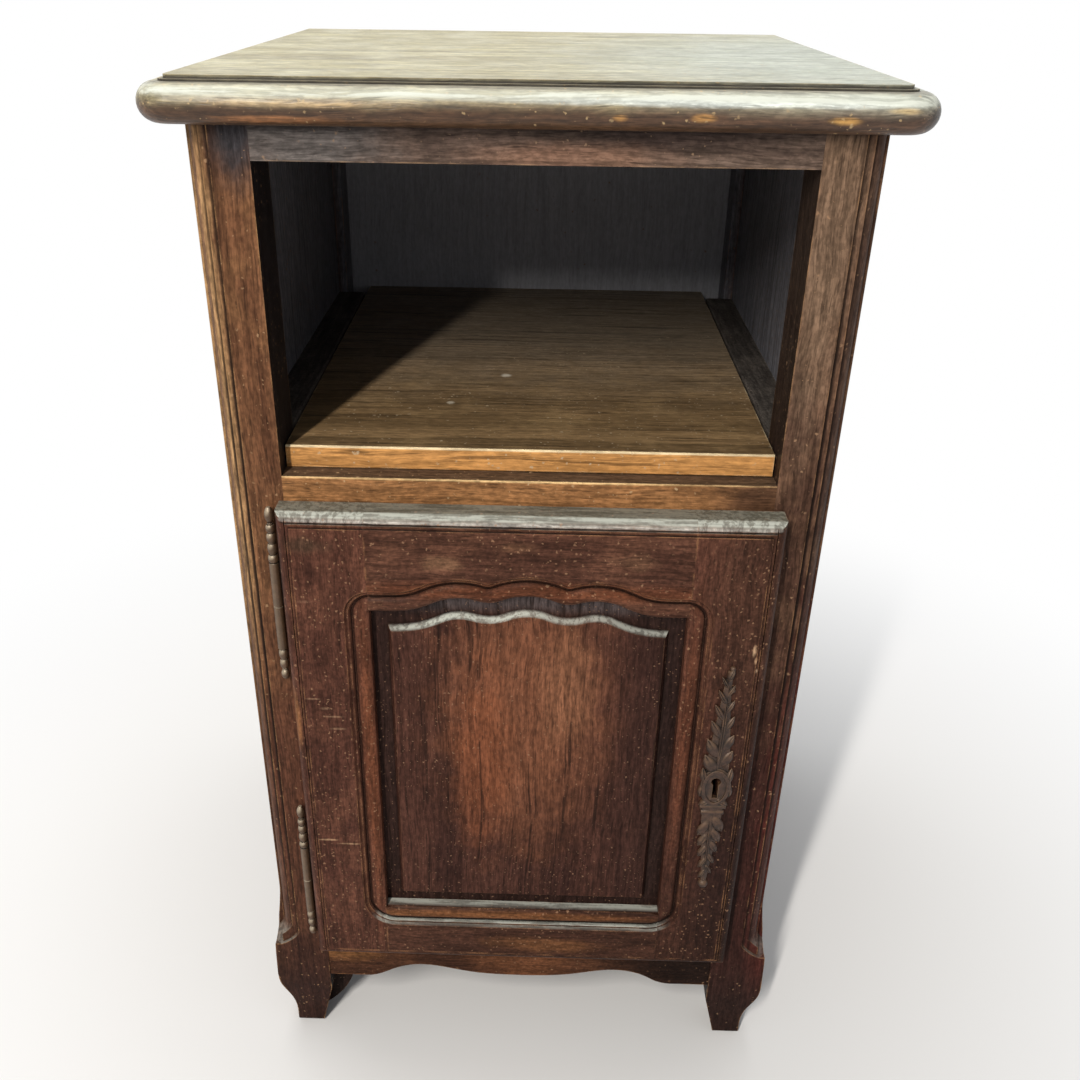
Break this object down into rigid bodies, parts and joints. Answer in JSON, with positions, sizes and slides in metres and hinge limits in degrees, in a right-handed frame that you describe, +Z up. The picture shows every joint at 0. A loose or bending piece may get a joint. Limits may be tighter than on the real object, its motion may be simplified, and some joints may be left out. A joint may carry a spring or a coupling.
{
  "type": "side cabinet",
  "caption": "Wooden side cabinet with a moulded top, an open niche with a pull-out shelf, a hung door with a raised arched panel, a scalloped apron and shaped feet.",
  "frame": {"origin": "on the floor, under the middle of the cabinet's bounding box", "axes": "+Z up; the front with the door faces -Y; +X is to the right as seen from the front"},
  "size_m": [0.44, 0.458, 0.7625],
  "materials": {
    "stained_wood": "dark stain, worn satin varnish",
    "inner_wood": "dull, darkened with age",
    "shelf_wood": "thin worn varnish, ochre front edge",
    "aged_bronze": "dark brown patina",
    "lock_iron": "dull grey"
  },
  "bodies": {
    "case": {"top_board": "stained_wood", "front_post_left": "stained_wood", "front_post_right": "stained_wood", "rear_post_left": "stained_wood", "rear_post_right": "stained_wood", "front_top_rail": "stained_wood", "front_mid_rail": "stained_wood", "front_apron": "stained_wood", "side_top_rail_left": "stained_wood", "side_top_rail_right": "stained_wood", "side_bottom_rail_left": "stained_wood", "side_bottom_rail_right": "stained_wood", "side_panel_left": "stained_wood", "side_panel_right": "stained_wood", "back_top_rail": "inner_wood", "back_mid_rail": "inner_wood", "back_bottom_rail": "inner_wood", "back_panel": "inner_wood", "shelf_runner_left": "inner_wood", "shelf_runner_right": "inner_wood", "shelf_guide_left": "inner_wood", "shelf_guide_right": "inner_wood", "cupboard_floor": "inner_wood", "floor_cleat_left": "inner_wood", "floor_cleat_right": "inner_wood", "top_glue_blocks": "inner_wood", "foot_block_left": "inner_wood", "hinge_post_half_upper": "aged_bronze", "hinge_post_half_lower": "aged_bronze", "hinge_pins": "lock_iron", "hinge_post_nails": "lock_iron", "back_panel_nails": "lock_iron", "strike_plate": "lock_iron", "strike_screws": "lock_iron"},
    "door": {"door_hinge_stile": "stained_wood", "door_lock_stile": "stained_wood", "door_top_rail": "stained_wood", "door_bottom_rail": "stained_wood", "door_panel": "stained_wood", "hinge_door_half_upper": "aged_bronze", "hinge_door_half_lower": "aged_bronze", "escutcheon": "aged_bronze", "hinge_door_nails": "lock_iron", "escutcheon_pins": "lock_iron", "lock_case": "lock_iron", "lock_cover": "lock_iron", "lock_screws": "lock_iron", "bolt_spring": "lock_iron"},
    "bolt": {"lock_bolt": "lock_iron"},
    "shelf": {"pull_out_shelf": "shelf_wood"}
  },
  "joints": [
    {"name": "door_swing", "type": "hinge", "parent": "case", "child": "door", "pos_m": [-0.17, -0.20795, 0.3], "axis": [0, 0, -1], "range_deg": [0, 120]},
    {"name": "shelf_slide", "type": "slide", "parent": "case", "child": "shelf", "axis": [0, -1, 0], "range_m": [0, 0.15]},
    {"name": "bolt_throw", "type": "slide", "parent": "door", "child": "bolt", "axis": [1, 0, 0], "range_m": [0, 0.009]}
  ]
}
